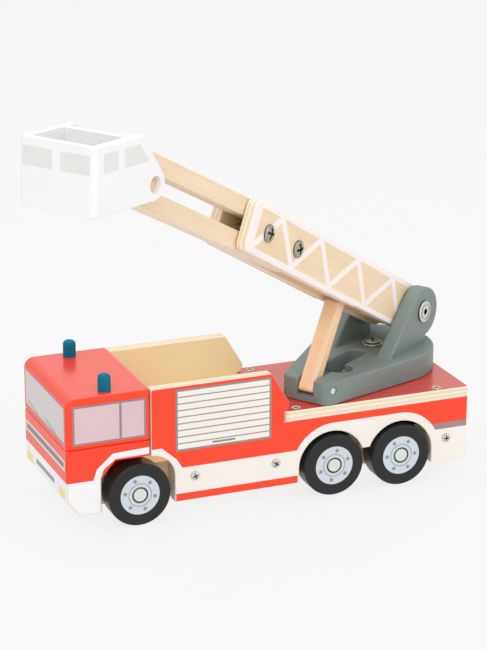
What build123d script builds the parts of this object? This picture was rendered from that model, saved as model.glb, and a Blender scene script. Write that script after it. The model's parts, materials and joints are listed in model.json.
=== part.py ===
from build123d import *
import math
import os

# A wooden toy fire engine with a turning, rising and sliding ladder, in millimetres.
# The truck faces -X, its left side is -Y and +Z is up. The origin lies in the flat underside
# of the chassis board, half way along the truck. The ground is one wheel radius below the axles.

# Driving dimensions of the truck
BODY_FRONT = -137.1
BODY_REAR = 137.1
FRONT_AXLE_X = -90.5
MIDDLE_AXLE_X = 41.5
REAR_AXLE_X = 88.9
AXLE_Z = 10.0
WHEEL_RADIUS = 20.5
WHEEL_WIDTH = 15.0
WHEEL_FACE = 45.35
AXLE_RADIUS = 4.2
BEARING_GAP = 0.08
CHASSIS_FRONT = -114.3
CHASSIS_HEIGHT = 23.0
CHASSIS_HALF = 35.2
CHASSIS_WAIST = 28.3
PANEL_INSIDE = 35.25
PANEL_OUTSIDE = 43.25
PANEL_FRONT = -81.9
PANEL_BOTTOM = 0.75
PANEL_TOP = 77.2
DECK_FRONT = 8.2
DECK_BOTTOM = 43.5
DECK_TOP = 50.6
REAR_ARCH = 22.8
REAR_ARCH_X = (40.8, 89.0)
FRONT_ARCH_REAR = -66.4
FRONT_ARCH_TOP = 33.7
FRONT_ARCH_CORNER = 15.3

# Driving dimensions of the cab
CAB_REAR = -82.35
CAB_HALF = 42.25
CAB_SEAM = 44.3
CAB_TOP = 78.0
BUMPER_BOTTOM = 0.1

# Driving dimensions of the ladder
TURNTABLE_X = 72.7
TURNTABLE_YAW = 34.0
BASE_GAP = 0.3
BASE_HEIGHT = 15.4
BASE_NOSE = 56.0
BASE_TAIL_X = 30.0
BASE_TAIL_RADIUS = 39.5
BASE_TAPER = 15.5
SLOT_HALF = 6.1
SLOT_FLOOR = 4.4
SLOT_TAIL = 12.5
HOLLOW_X = -25.2
HOLLOW_Y = 7.5
HOLLOW_RADIUS = 8.2
HOLLOW_FLOOR = 7.4
EAR_INSIDE = 15.9
EAR_OUTSIDE = 26.4
EAR_RADIUS = 16.6
EAR_CENTRE = (51.0, 35.8)
EAR_FOOT = (5.7, 53.0)
TENON_DEPTH = 5.0
PIVOT_X = 48.9
PIVOT_Z = 37.0
PIVOT_RADIUS = 3.0
BOOM_ELEVATION = 28.7
BOOM_LENGTH = 216.0
BOOM_INSIDE = 7.5
BOOM_OUTSIDE = 15.0
BOOM_HIGH = 16.0
BOOM_LOW = -15.4
GUIDE_BOLTS = (157.7, 194.9)
GUIDE_RADIUS = 3.0
EXTENSION_DROOP = 1.7
EXTENSION_HALF = 7.0
EXTENSION_HALF_HEIGHT = 16.0
EXTENSION_TAIL = 48.0
EXTENSION_TIP = 150.0
BASKET_PIN_U = 142.4
BASKET_PIN_T = -4.4
BASKET_PIN_RADIUS = 4.95
BASKET_TILT = 2.5
BASKET_FRONT = 55.1
BASKET_BOTTOM = -9.0
BASKET_TOP = 29.2
BASKET_INSIDE = 20.4
BASKET_OUTSIDE = 25.4
PROP_PIN_X = 50.4
PROP_PIN_Z = 9.5
PROP_PIN_RADIUS = 2.4
PROP_LEAN = 31.6
PROP_LENGTH = 57.3
PROP_FOOT = -4.3
PROP_HALF_WIDTH = 5.5
PROP_HALF_THICKNESS = 3.85

# Sizes used by several pieces
LEFT = -1
RIGHT = 1
AXLES = {"front": FRONT_AXLE_X, "middle": MIDDLE_AXLE_X, "rear": REAR_AXLE_X}
FLANGE_RADIUS = 7.3
FLANGE_THICKNESS = 1.5
NUT_BARREL = 4.0
NUT_LENGTH = 8.0
SCREW_SHANK = 1.5
SCREW_HOLE = 1.55
SCREW_HEAD = 2.9
DECK_SCREW_SINK = 0.9
SIDE_SCREW_X = (-53.1, 1.8, 122.2)
SIDE_SCREW_Z = 16.5
DECK_SCREW_X = (17.3, 116.7)
DECK_SCREW_Y = 38.5
DOWEL_X = -110.0
DOWEL_Y = 20.0
DOWEL_RADIUS = 4.0
DOWEL_HALF = 12.0
BEACON_X = -109.0
BEACON_Y = 33.7
BEACON_PEG = 2.5
TURN_BOLT_RADIUS = 2.5
TURN_BOLT_HEAD = 5.0
TAIL_BOLT_X = 28.0
TAIL_BOLT_RADIUS = 2.0
WASHER_THICKNESS = 1.0
RUNNING_GAP = 0.05
EDGE = 0.7

# Frames of the ladder's parts. In each of them the ladder points along -X.
TURNTABLE = Location((TURNTABLE_X, 0, DECK_TOP), (0, 0, TURNTABLE_YAW))
PROP = TURNTABLE * Location((-PROP_PIN_X, 0, PROP_PIN_Z), (0, PROP_LEAN, 0))
BOOM = TURNTABLE * Location((PIVOT_X, 0, PIVOT_Z), (0, BOOM_ELEVATION, 0))
EXTENSION = BOOM * Location((-GUIDE_BOLTS[1], 0, 0), (0, -EXTENSION_DROOP, 0))
BASKET = EXTENSION * Location(
    (-BASKET_PIN_U, 0, BASKET_PIN_T), (0, BASKET_TILT + EXTENSION_DROOP - BOOM_ELEVATION, 0)
)


def block(x, y, z):
    """A square-edged block between two values on each axis."""
    middle = [(low + high) / 2 for low, high in (x, y, z)]
    size = [high - low for low, high in (x, y, z)]
    return Pos(*middle) * Box(*size)


def cross_rod(x, z, radius, start, end):
    """A round rod along Y."""
    return Pos(x, (start + end) / 2, z) * Rot(90, 0, 0) * Cylinder(radius, end - start)


def upright_rod(x, y, radius, bottom, top):
    """A round rod along Z."""
    return Pos(x, y, (bottom + top) / 2) * Cylinder(radius, top - bottom)


def polygon(*points):
    """A flat outline with straight sides."""
    return make_face(Polyline(*points, close=True))


def rectangle(x, y):
    """A flat rectangle between two values on each axis."""
    return Pos(sum(x) / 2, sum(y) / 2) * Rectangle(x[1] - x[0], y[1] - y[0])


def round_corners(outline, radius, *points):
    """Rounds the outline's corners nearest to the points."""
    corners = [outline.vertices().sort_by_distance((x, z, 0))[0] for x, z in points]
    return fillet(corners, radius)


def sawn_board(outline, low, high):
    """A board with an outline drawn in X and Z, between two values of Y, with square rims."""
    return Pos(0, high, 0) * extrude(Plane.XZ * outline, high - low)


def board(outline, low, high, rim=EDGE):
    """A board with an outline drawn in X and Z, between two values of Y, with rounded rims."""
    blank = sawn_board(outline, low, high)
    return fillet(blank.faces().filter_by(Axis.Y).edges(), rim)


def side_span(side, inside, outside):
    """The low and high Y of something on the left or right side."""
    return tuple(sorted((side * inside, side * outside)))


def tangent_point(point, centre, radius, turn):
    """Where a line from a point touches a circle. turn is 1 or -1, for the two such lines."""
    away_x, away_z = point[0] - centre[0], point[1] - centre[1]
    angle = math.atan2(away_z, away_x) + turn * math.acos(radius / math.hypot(away_x, away_z))
    return centre[0] + radius * math.cos(angle), centre[1] + radius * math.sin(angle)


def pan_head(radius, height, turn):
    """A low domed screw head on z = 0 with a cross recess, turned by some degrees."""
    rise = 0.7 * height
    dome_radius = (radius**2 + rise**2) / (2 * rise)
    head = Pos(0, 0, height / 2) * Cylinder(radius, height)
    head = head & Pos(0, 0, height - dome_radius) * Sphere(dome_radius)
    arm = Box(1.3 * radius, 0.28 * radius, 1.2 * height)
    recess = Pos(0, 0, height) * (arm + Rot(0, 0, 90) * arm)
    return Rot(0, 0, turn) * (head - recess)


def screw(head_radius, head_height, shank_radius, length, turn):
    """A screw along Z, with its head above z = 0 and its shank below."""
    shank = upright_rod(0, 0, shank_radius, -length, 0)
    point = 0.8 * shank_radius
    return pan_head(head_radius, head_height, turn) + chamfer(shank.edges().group_by(Axis.Z)[0], point)


# The truck


def chassis_board():
    """The floor of the truck, waisted where the wheels run beside it."""
    plan = rectangle((CHASSIS_FRONT, BODY_REAR - 0.4), (-CHASSIS_WAIST, CHASSIS_WAIST))
    plan += rectangle((-65.7, 17.8), (-CHASSIS_HALF, CHASSIS_HALF))
    plan += rectangle((112.5, BODY_REAR - 0.4), (-CHASSIS_HALF, CHASSIS_HALF))
    shape = extrude(plan, CHASSIS_HEIGHT)
    shape = fillet(shape.faces().sort_by(Axis.Z)[0].edges(), EDGE)
    for x in (FRONT_AXLE_X, MIDDLE_AXLE_X, REAR_AXLE_X):
        shape -= cross_rod(x, AXLE_Z, AXLE_RADIUS + BEARING_GAP, -CHASSIS_HALF, CHASSIS_HALF)
    for side in (LEFT, RIGHT):
        for x in SIDE_SCREW_X:
            shape -= cross_rod(x, SIDE_SCREW_Z, SCREW_HOLE, *side_span(side, 20, CHASSIS_HALF))
    return shape


def cab_lower():
    """The lower half of the cab: a bumper that reaches down, and a step over the front wheels."""
    well_front = CHASSIS_FRONT - 0.1
    outline = polygon(
        (BODY_FRONT, 10.5),
        (-128.9, BUMPER_BOTTOM),
        (well_front, BUMPER_BOTTOM),
        (well_front, CHASSIS_HEIGHT),
        (CAB_REAR, CHASSIS_HEIGHT),
        (CAB_REAR, CAB_SEAM),
        (BODY_FRONT, CAB_SEAM),
    )
    outline = round_corners(outline, 1.2, (BODY_FRONT, CAB_SEAM), (CAB_REAR, CAB_SEAM))
    outline = round_corners(outline, 1.5, (BODY_FRONT, 10.5), (-128.9, BUMPER_BOTTOM))
    shape = board(outline, -CAB_HALF, CAB_HALF, 1.6)
    well = polygon((well_front, 20), (well_front, 24.1), (-105.4, 34.2), (-80, 34.2), (-80, 20))
    for side in (LEFT, RIGHT):
        shape -= sawn_board(well, *side_span(side, CHASSIS_WAIST + 0.1, CAB_HALF + 1))
        shape -= upright_rod(DOWEL_X, side * DOWEL_Y, DOWEL_RADIUS, CAB_SEAM - DOWEL_HALF, CAB_SEAM)
    return shape


def cab_upper():
    """The upper half of the cab, with a well rounded brow above the windscreen."""
    outline = rectangle((BODY_FRONT, CAB_REAR), (CAB_SEAM, CAB_TOP))
    outline = round_corners(outline, 6.5, (BODY_FRONT, CAB_TOP))
    outline = round_corners(
        outline, 1.2, (BODY_FRONT, CAB_SEAM), (CAB_REAR, CAB_SEAM), (CAB_REAR, CAB_TOP)
    )
    shape = board(outline, -CAB_HALF, CAB_HALF, 1.6)
    for side in (LEFT, RIGHT):
        shape -= upright_rod(DOWEL_X, side * DOWEL_Y, DOWEL_RADIUS, CAB_SEAM, CAB_SEAM + DOWEL_HALF)
        shape -= upright_rod(BEACON_X, side * BEACON_Y, BEACON_PEG, CAB_TOP - 8, CAB_TOP)
    return shape


def cab_dowels():
    """Two dowels that hold the cab's halves together."""
    dowel = Cylinder(DOWEL_RADIUS, 2 * DOWEL_HALF)
    dowel = chamfer(dowel.edges().filter_by(GeomType.CIRCLE), 0.8)
    return [Pos(DOWEL_X, side * DOWEL_Y, CAB_SEAM) * dowel for side in (LEFT, RIGHT)]


def beacon(side):
    """A round-topped warning light with a peg that is glued into the roof."""
    radius, height, dome = 4.15, 10.8, 2.8
    lamp = fillet(upright_rod(0, 0, radius, 0, height).edges().sort_by(Axis.Z)[-1:], dome)
    lamp += upright_rod(0, 0, BEACON_PEG, -7.5, 0)
    return Pos(BEACON_X, side * BEACON_Y, CAB_TOP) * lamp


def panel_outline():
    """The outline of a side panel, with its wheel arches and the cut-out for the deck."""
    hook_x, hook_z = 10.9, DECK_TOP + 0.1
    slope_foot, slope_head = 56.6, -1.5
    outline = polygon(
        (PANEL_FRONT, PANEL_BOTTOM),
        (PANEL_FRONT, PANEL_TOP),
        (slope_head, PANEL_TOP),
        (hook_x, slope_foot),
        (hook_x, hook_z),
        (DECK_FRONT - 0.7, hook_z),
        (DECK_FRONT - 0.7, DECK_BOTTOM),
        (BODY_REAR, DECK_BOTTOM),
        (BODY_REAR, PANEL_BOTTOM),
    )
    outline = round_corners(outline, 3.3, (hook_x, hook_z))
    outline = round_corners(outline, 2.0, (slope_head, PANEL_TOP), (hook_x, slope_foot))
    outline = round_corners(outline, 1.2, (PANEL_FRONT, PANEL_TOP), (BODY_REAR, PANEL_BOTTOM))
    front_arch = rectangle((PANEL_FRONT - 9, FRONT_ARCH_REAR), (PANEL_BOTTOM - 5, FRONT_ARCH_TOP))
    front_arch = round_corners(front_arch, FRONT_ARCH_CORNER, (FRONT_ARCH_REAR, FRONT_ARCH_TOP))
    middle, rear = REAR_ARCH_X
    rear_arch = Pos(middle, AXLE_Z) * Circle(REAR_ARCH) + Pos(rear, AXLE_Z) * Circle(REAR_ARCH)
    rear_arch += rectangle((middle - REAR_ARCH, rear + REAR_ARCH), (PANEL_BOTTOM - 5, AXLE_Z))
    rear_arch += rectangle(REAR_ARCH_X, (AXLE_Z - 5, AXLE_Z + 8))
    return outline - front_arch - rear_arch


def side_panel(side):
    """A plywood side of the truck. Its tall front part is a wall of the open bay."""
    low, high = side_span(side, PANEL_INSIDE, PANEL_OUTSIDE)
    shape = board(panel_outline(), low, high)
    for x in SIDE_SCREW_X:
        shape -= cross_rod(x, SIDE_SCREW_Z, SCREW_HOLE, low, high)
    for x in DECK_SCREW_X:
        shape -= upright_rod(x, side * DECK_SCREW_Y, SCREW_HOLE, DECK_BOTTOM - 15, DECK_BOTTOM)
    return shape


def deck_plate():
    """The plywood deck that carries the turntable."""
    plan = rectangle((DECK_FRONT, BODY_REAR), (-PANEL_OUTSIDE, PANEL_OUTSIDE))
    plan = fillet(plan.vertices().group_by(Axis.X)[-1], 1.5)
    plan = fillet(plan.vertices().group_by(Axis.X)[0], 4.5)
    shape = Pos(0, 0, DECK_BOTTOM) * extrude(plan, DECK_TOP - DECK_BOTTOM)
    shape = fillet(shape.faces().filter_by(Axis.Z).edges(), EDGE)
    shape -= upright_rod(TURNTABLE_X, 0, TURN_BOLT_RADIUS, DECK_BOTTOM, DECK_TOP)
    for x in DECK_SCREW_X:
        for side in (LEFT, RIGHT):
            shape -= upright_rod(x, side * DECK_SCREW_Y, SCREW_HOLE, DECK_BOTTOM, DECK_TOP)
            shape -= upright_rod(x, side * DECK_SCREW_Y, SCREW_HEAD, DECK_TOP - DECK_SCREW_SINK, DECK_TOP)
    return shape


def bay_bulkhead():
    """The wall between the open bay and the space under the deck."""
    return block((DECK_FRONT, 15.5), (-CHASSIS_HALF, CHASSIS_HALF), (CHASSIS_HEIGHT, DECK_BOTTOM))


def rear_block():
    """The block that closes the rear of the truck under the deck."""
    return block((121.5, 135.5), (-CHASSIS_HALF, CHASSIS_HALF), (CHASSIS_HEIGHT, DECK_BOTTOM))


def side_screws(side):
    """Three screws through a side panel into the chassis board."""
    screws = []
    for number, x in enumerate(SIDE_SCREW_X):
        one = screw(SCREW_HEAD, 1.3, SCREW_SHANK, 20, 20 + 35 * number)
        screws.append(Pos(x, side * PANEL_OUTSIDE, SIDE_SCREW_Z) * Rot(-90 * side, 0, 0) * one)
    return screws


def deck_screws():
    """Four screws through the deck into the side panels' edges, sunk so that the turntable clears them."""
    screws = []
    for number, x in enumerate(DECK_SCREW_X):
        for side in (LEFT, RIGHT):
            one = screw(SCREW_HEAD, 1.0, SCREW_SHANK, 20, 10 + 30 * number)
            screws.append(Pos(x, side * DECK_SCREW_Y, DECK_TOP - DECK_SCREW_SINK) * one)
    return screws


def axle(x):
    """A wooden axle that turns in the chassis board."""
    half = WHEEL_FACE + 0.6
    shape = Rot(90, 0, 0) * Cylinder(AXLE_RADIUS, 2 * half)
    shape = chamfer(shape.edges().filter_by(GeomType.CIRCLE), 0.4)
    return Pos(x, 0, AXLE_Z) * shape


def wheel(x, side):
    """A turned wooden wheel with a rounded rim, pressed on an axle."""
    low, high = side_span(side, WHEEL_FACE - WHEEL_WIDTH, WHEEL_FACE)
    shape = cross_rod(0, 0, WHEEL_RADIUS, low, high)
    shape = fillet(shape.edges().filter_by(GeomType.CIRCLE), 1.3)
    shape -= cross_rod(0, 0, AXLE_RADIUS, low, high)
    shape -= cross_rod(0, 0, 4.9, *side_span(side, WHEEL_FACE - 2.5, WHEEL_FACE))
    return Pos(x, 0, AXLE_Z) * shape


# The turntable


def base_outline():
    """The plan of the turntable: a blunt nose that widens to a round tail."""
    taper = math.radians(BASE_TAPER)
    nose_half = BASE_TAIL_RADIUS - (BASE_NOSE + BASE_TAIL_X) * math.sin(taper)
    nose_half /= math.cos(taper)
    touch_x = BASE_TAIL_X - BASE_TAIL_RADIUS * math.sin(taper)
    touch_y = BASE_TAIL_RADIUS * math.cos(taper)
    corners = [(-BASE_NOSE, -nose_half), (touch_x, -touch_y), (touch_x, touch_y), (-BASE_NOSE, nose_half)]
    outline = polygon(*corners) + Pos(BASE_TAIL_X, 0) * Circle(BASE_TAIL_RADIUS)
    return round_corners(outline, 7.0, corners[0], corners[3])


def turntable_base():
    """The turning base, slotted along its middle for the prop, with a finger hollow across the slot."""
    shape = Pos(0, 0, BASE_GAP) * extrude(base_outline(), BASE_HEIGHT - BASE_GAP)
    shape = fillet(shape.faces().sort_by(Axis.Z)[-1].edges(), 1.4)
    shape = fillet(shape.faces().sort_by(Axis.Z)[0].edges(), 0.4)
    slot_end = SLOT_TAIL - SLOT_HALF
    slot = block((-BASE_NOSE - 1, slot_end), (-SLOT_HALF, SLOT_HALF), (SLOT_FLOOR, BASE_HEIGHT + 1))
    slot += upright_rod(slot_end, 0, SLOT_HALF, SLOT_FLOOR, BASE_HEIGHT + 1)
    x = (HOLLOW_X - HOLLOW_RADIUS, HOLLOW_X + HOLLOW_RADIUS)
    slot += block(x, (-HOLLOW_Y, HOLLOW_Y), (HOLLOW_FLOOR, BASE_HEIGHT + 1))
    for side in (LEFT, RIGHT):
        slot += upright_rod(HOLLOW_X, side * HOLLOW_Y, HOLLOW_RADIUS, HOLLOW_FLOOR, BASE_HEIGHT + 1)
    shape -= slot
    rim = shape.faces().filter_by(Axis.Z).sort_by(Axis.Z)[-1].edges()
    shape = fillet(rim.filter_by(lambda edge: edge.length < 2 * BASE_TAIL_RADIUS and inner(edge)), 1.0)
    for side in (LEFT, RIGHT):
        y = side_span(side, EAR_INSIDE, EAR_OUTSIDE)
        shape -= block(EAR_FOOT, y, (BASE_HEIGHT - TENON_DEPTH, BASE_HEIGHT))
    shape -= upright_rod(0, 0, TURN_BOLT_RADIUS + RUNNING_GAP, 0, SLOT_FLOOR)
    shape -= upright_rod(0, 0, TURN_BOLT_HEAD + 0.5, 2.4, SLOT_FLOOR)
    shape -= upright_rod(TAIL_BOLT_X, 0, TAIL_BOLT_RADIUS, BASE_GAP + 2, BASE_HEIGHT)
    shape -= cross_rod(-PROP_PIN_X, PROP_PIN_Z, PROP_PIN_RADIUS, -25, 25)
    return shape


def inner(edge):
    """Whether an edge lies along the slot, and not along the rounded outer rim."""
    return abs(edge.center().Y) < HOLLOW_Y + HOLLOW_RADIUS + 0.5 and edge.center().X > -BASE_NOSE + 3


def ear(side):
    """One of the two upright cheeks that hold the boom's pivot, tenoned into the base."""
    pivot = (PIVOT_X, PIVOT_Z)
    front, rear = EAR_FOOT
    touch = tangent_point((front, BASE_HEIGHT), EAR_CENTRE, EAR_RADIUS, -1)
    cheek = polygon(
        (front, BASE_HEIGHT), touch, EAR_CENTRE, (rear, EAR_CENTRE[1]), (rear, BASE_HEIGHT)
    )
    cheek += Pos(*EAR_CENTRE) * Circle(EAR_RADIUS)
    low, high = side_span(side, EAR_INSIDE, EAR_OUTSIDE)
    shape = sawn_board(cheek, low, high)
    rims = shape.faces().filter_by(Axis.Y).edges().filter_by(lambda e: e.center().Z > BASE_HEIGHT + 0.1)
    shape = fillet(rims, 1.6)
    shape += block(EAR_FOOT, (low, high), (BASE_HEIGHT - TENON_DEPTH, BASE_HEIGHT))
    shape -= cross_rod(*pivot, PIVOT_RADIUS, low, high)
    if side == RIGHT:
        shape -= cross_rod(*pivot, NUT_BARREL, EAR_OUTSIDE - NUT_LENGTH, EAR_OUTSIDE)
    return shape


def flange():
    """A round furniture bolt head on z = 0, stepped on its face, with a hexagon socket."""
    disc = Pos(0, 0, FLANGE_THICKNESS / 2) * Cylinder(FLANGE_RADIUS, FLANGE_THICKNESS)
    disc = fillet(disc.edges().sort_by(Axis.Z)[-1:], 0.9)
    step = Cylinder(5.4, 0.6) - Cylinder(4.6, 0.6)
    socket = extrude(RegularPolygon(2.3, 6), FLANGE_THICKNESS + 0.1)
    return disc - Pos(0, 0, FLANGE_THICKNESS) * step - Pos(0, 0, 0.4) * socket


def boom_pivot_bolt():
    """The bolt that the boom rises on, with its head on the left ear."""
    end = EAR_OUTSIDE - 1
    shape = Pos(0, -EAR_OUTSIDE, 0) * Rot(90, 0, 0) * flange()
    shape += cross_rod(0, 0, PIVOT_RADIUS, -EAR_OUTSIDE, end)
    return Pos(PIVOT_X, 0, PIVOT_Z) * shape


def boom_pivot_nut():
    """The flanged sleeve nut in the right ear."""
    shape = Pos(0, EAR_OUTSIDE, 0) * Rot(-90, 0, 0) * flange()
    shape += cross_rod(0, 0, NUT_BARREL, EAR_OUTSIDE - NUT_LENGTH, EAR_OUTSIDE)
    shape -= cross_rod(0, 0, PIVOT_RADIUS, EAR_OUTSIDE - NUT_LENGTH, EAR_OUTSIDE - 0.5)
    return Pos(PIVOT_X, 0, PIVOT_Z) * shape


def turntable_bolt():
    """The flat-headed bolt that the turntable turns on."""
    head = upright_rod(TURNTABLE_X, 0, TURN_BOLT_HEAD, DECK_TOP + 2.5, DECK_TOP + SLOT_FLOOR)
    return head + upright_rod(TURNTABLE_X, 0, TURN_BOLT_RADIUS, DECK_BOTTOM - 6, DECK_TOP + 2.5)


def turntable_nut():
    """The nut of the turntable bolt, under the deck."""
    shape = extrude(RegularPolygon(4.6, 6), 4) - Cylinder(TURN_BOLT_RADIUS, 10)
    return Pos(TURNTABLE_X, 0, DECK_BOTTOM - 4) * shape


def tail_bolt():
    """The domed bolt between the ears."""
    return Pos(TAIL_BOLT_X, 0, BASE_HEIGHT + WASHER_THICKNESS) * (
        pan_head(5.2, 2.6, 30) + upright_rod(0, 0, TAIL_BOLT_RADIUS, -10, 0)
    )


def tail_washer():
    """The washer under the domed bolt."""
    ring = Cylinder(7.3, WASHER_THICKNESS)
    ring = fillet(ring.edges().sort_by(Axis.Z)[-1:], 0.6) - Cylinder(TAIL_BOLT_RADIUS, 5)
    return Pos(TAIL_BOLT_X, 0, BASE_HEIGHT + WASHER_THICKNESS / 2) * ring


def prop_pin():
    """The steel pin that the prop swings on, through the turntable's nose."""
    half = 18.5
    shape = cross_rod(-PROP_PIN_X, PROP_PIN_Z, PROP_PIN_RADIUS, -half, half)
    return fillet(shape.edges().filter_by(GeomType.CIRCLE), 0.9)


def prop():
    """The wooden prop that stands under the boom, and folds back into the slot."""
    outline = rectangle((-PROP_HALF_THICKNESS, PROP_HALF_THICKNESS), (PROP_FOOT, PROP_LENGTH))
    outline = fillet(outline.vertices(), 2.2)
    shape = board(outline, -PROP_HALF_WIDTH, PROP_HALF_WIDTH, 0.8)
    return shape - cross_rod(0, 0, PROP_PIN_RADIUS + RUNNING_GAP, -10, 10)


# The ladder


def boom_plate(side):
    """One of the two long plates of the boom, round at the pivot and stepped below."""
    step_s, step_height = 70.0, -0.6
    outline = polygon(
        (15.0, BOOM_HIGH),
        (15.0, BOOM_LOW),
        (-step_s, BOOM_LOW),
        (-step_s - 3, BOOM_LOW + step_height),
        (-BOOM_LENGTH, BOOM_LOW + step_height),
        (-BOOM_LENGTH, BOOM_HIGH),
    )
    outline = round_corners(outline, 15.0, (15.0, BOOM_HIGH), (15.0, BOOM_LOW))
    front = [(-BOOM_LENGTH, BOOM_LOW + step_height), (-BOOM_LENGTH, BOOM_HIGH)]
    outline = round_corners(outline, 5.0, *front)
    low, high = side_span(side, BOOM_INSIDE, BOOM_OUTSIDE)
    shape = board(outline, low, high, 1.1)
    shape -= cross_rod(0, 0, PIVOT_RADIUS + RUNNING_GAP, low, high)
    for s in GUIDE_BOLTS:
        shape -= cross_rod(-s, 0, GUIDE_RADIUS, low, high)
    return shape


def boom_spacer():
    """The block between the boom's plates, hollowed below so that the prop's tip can travel."""
    outline = polygon(
        (13.0, 13.6),
        (13.0, -13.6),
        (-25.0, -13.6),
        (-32.0, -9.0),
        (-76.2, -9.0),
        (-76.2, -13.5),
        (-82.0, -13.5),
        (-82.0, 13.6),
    )
    outline = round_corners(outline, 12.0, (13.0, 13.6), (13.0, -13.6))
    shape = sawn_board(outline, -BOOM_INSIDE, BOOM_INSIDE)
    return shape - cross_rod(0, 0, PIVOT_RADIUS + RUNNING_GAP, -10, 10)


def guide_bolts():
    """Two bolts through the boom's plates, which the ladder slides on."""
    bolts = []
    for number, s in enumerate(GUIDE_BOLTS):
        one = pan_head(5.5, 2.2, 30 - 25 * number)
        one = Pos(0, -BOOM_OUTSIDE, 0) * Rot(90, 0, 0) * one
        bolts.append(Pos(-s, 0, 0) * (one + cross_rod(0, 0, GUIDE_RADIUS, -BOOM_OUTSIDE, BOOM_OUTSIDE + 1)))
    return bolts


def guide_nuts():
    """The round nuts of the two guide bolts, on the right plate."""
    nuts = []
    for s in GUIDE_BOLTS:
        one = fillet(Cylinder(5.5, 2.2).edges().sort_by(Axis.Z)[-1:], 1.2)
        one -= Pos(0, 0, -0.6) * Cylinder(GUIDE_RADIUS, 1.0)
        one -= Pos(0, 0, 1.0) * Box(8, 1.2, 1.0)
        nuts.append(Pos(-s, BOOM_OUTSIDE + 1.1, 0) * Rot(-90, 0, 0) * one)
    return nuts


def extension_board():
    """The sliding part of the ladder: a board slotted along its length."""
    outline = rectangle(
        (-EXTENSION_TIP, EXTENSION_TAIL), (-EXTENSION_HALF_HEIGHT, EXTENSION_HALF_HEIGHT)
    )
    tip = [(-EXTENSION_TIP, -EXTENSION_HALF_HEIGHT), (-EXTENSION_TIP, EXTENSION_HALF_HEIGHT)]
    outline = round_corners(outline, 8.0, *tip)
    slot = rectangle((-125.0, 40.7), (-4.6, 5.3))
    outline -= fillet(slot.vertices(), 4.5)
    shape = board(outline, -EXTENSION_HALF, EXTENSION_HALF, 0.5)
    return shape - cross_rod(-BASKET_PIN_U, BASKET_PIN_T, BASKET_PIN_RADIUS + RUNNING_GAP, -10, 10)


def basket_cheek(side):
    """A side of the rescue basket, which reaches back to the pin that the basket tilts on."""
    lug = 9.0
    top_rear = (-11.2, BASKET_TOP)
    lug_touch = tangent_point(top_rear, (0, 0), lug, -1)
    outline = polygon(
        top_rear,
        (-BASKET_FRONT, BASKET_TOP),
        (-BASKET_FRONT, BASKET_BOTTOM),
        (0, BASKET_BOTTOM),
        (0, 0),
        lug_touch,
    )
    outline += Circle(lug)
    low, high = side_span(side, BASKET_INSIDE, BASKET_OUTSIDE)
    shape = sawn_board(outline, low, high)
    front = shape.edges().filter_by(Axis.Z).sort_by(Axis.X)[:2].sort_by(Axis.Y)
    shape = fillet(front[0 if side == LEFT else -1], 3.5)
    shape = fillet(shape.faces().sort_by(Axis.Y)[0 if side == LEFT else -1].edges(), 0.8)
    return shape - cross_rod(0, 0, BASKET_PIN_RADIUS + RUNNING_GAP, low, high)


def basket_wall(front, rear, top):
    """A wall across the basket between its cheeks."""
    return block((-front, -rear), (-BASKET_INSIDE, BASKET_INSIDE), (BASKET_BOTTOM, top))


def basket_front_wall():
    """The basket's front wall."""
    return basket_wall(BASKET_FRONT, BASKET_FRONT - 5, BASKET_TOP)


def basket_rear_wall():
    """The basket's rear wall, ahead of the ladder's tip."""
    return basket_wall(21.0, 16.5, BASKET_TOP - 0.5)


def basket_floor():
    """The basket's floor, between its front and rear walls."""
    x = (-BASKET_FRONT + 5, -21.0)
    return block(x, (-BASKET_INSIDE, BASKET_INSIDE), (BASKET_BOTTOM, BASKET_BOTTOM + 5))


def basket_pin():
    """The wooden pin that the basket tilts on, sunk a little below the cheeks' faces."""
    half = 21.8
    shape = cross_rod(0, 0, BASKET_PIN_RADIUS, -half, half)
    return chamfer(shape.edges().filter_by(GeomType.CIRCLE), 0.5)


def basket_spacers():
    """Two rings on the pin, which keep the ladder's tip in the middle of the basket."""
    rings = []
    for side in (LEFT, RIGHT):
        low, high = side_span(side, EXTENSION_HALF + 0.3, BASKET_INSIDE)
        ring = cross_rod(0, 0, 8.0, low, high) - cross_rod(0, 0, BASKET_PIN_RADIUS, low, high)
        rings.append(ring)
    return rings


def truck_pieces():
    """The pieces of the truck, in the truck's frame."""
    pieces = {
        "chassis_board": chassis_board(),
        "cab_lower": cab_lower(),
        "cab_upper": cab_upper(),
        "cab_dowels": cab_dowels(),
        "deck_plate": deck_plate(),
        "bay_bulkhead": bay_bulkhead(),
        "rear_block": rear_block(),
        "deck_screws": deck_screws(),
        "turntable_bolt": turntable_bolt(),
        "turntable_nut": turntable_nut(),
    }
    for name, side in (("left", LEFT), ("right", RIGHT)):
        pieces[f"side_panel_{name}"] = side_panel(side)
        pieces[f"side_screws_{name}"] = side_screws(side)
        pieces[f"beacon_{name}"] = beacon(side)
        for place, x in AXLES.items():
            pieces[f"wheel_{place}_{name}"] = wheel(x, side)
    for place, x in AXLES.items():
        pieces[f"axle_{place}"] = axle(x)
    return pieces


def turntable_pieces():
    """The pieces that turn with the turntable, in its frame."""
    return {
        "turntable_base": turntable_base(),
        "ear_left": ear(LEFT),
        "ear_right": ear(RIGHT),
        "boom_pivot_bolt": boom_pivot_bolt(),
        "boom_pivot_nut": boom_pivot_nut(),
        "tail_bolt": tail_bolt(),
        "tail_washer": tail_washer(),
        "prop_pin": prop_pin(),
    }


def boom_pieces():
    """The pieces that rise with the boom, in its frame."""
    return {
        "boom_plate_left": boom_plate(LEFT),
        "boom_plate_right": boom_plate(RIGHT),
        "boom_spacer": boom_spacer(),
        "guide_bolts": guide_bolts(),
        "guide_nuts": guide_nuts(),
    }


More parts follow.
